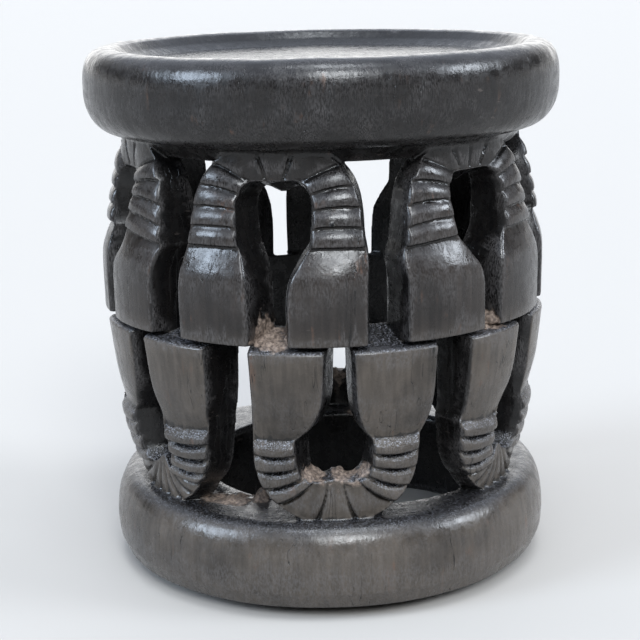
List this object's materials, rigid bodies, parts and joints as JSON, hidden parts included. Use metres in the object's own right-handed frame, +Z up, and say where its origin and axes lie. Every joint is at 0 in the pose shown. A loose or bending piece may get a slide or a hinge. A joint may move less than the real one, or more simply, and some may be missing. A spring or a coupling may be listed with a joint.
{
  "type": "carved stool",
  "caption": "Round carved wooden stool with a dished seat, an openwork wall of double bells in two tiers and a base ring.",
  "frame": {"origin": "on the floor under the middle of the seat's outline", "axes": "+Z up through the seat, -Y towards the side the picture shows, +X to the right of that side"},
  "size_m": [0.419, 0.42, 0.466],
  "materials": {
    "blackened_wood": "worn satin patina"
  },
  "bodies": {
    "root": {"stool": "blackened_wood"}
  },
  "joints": []
}
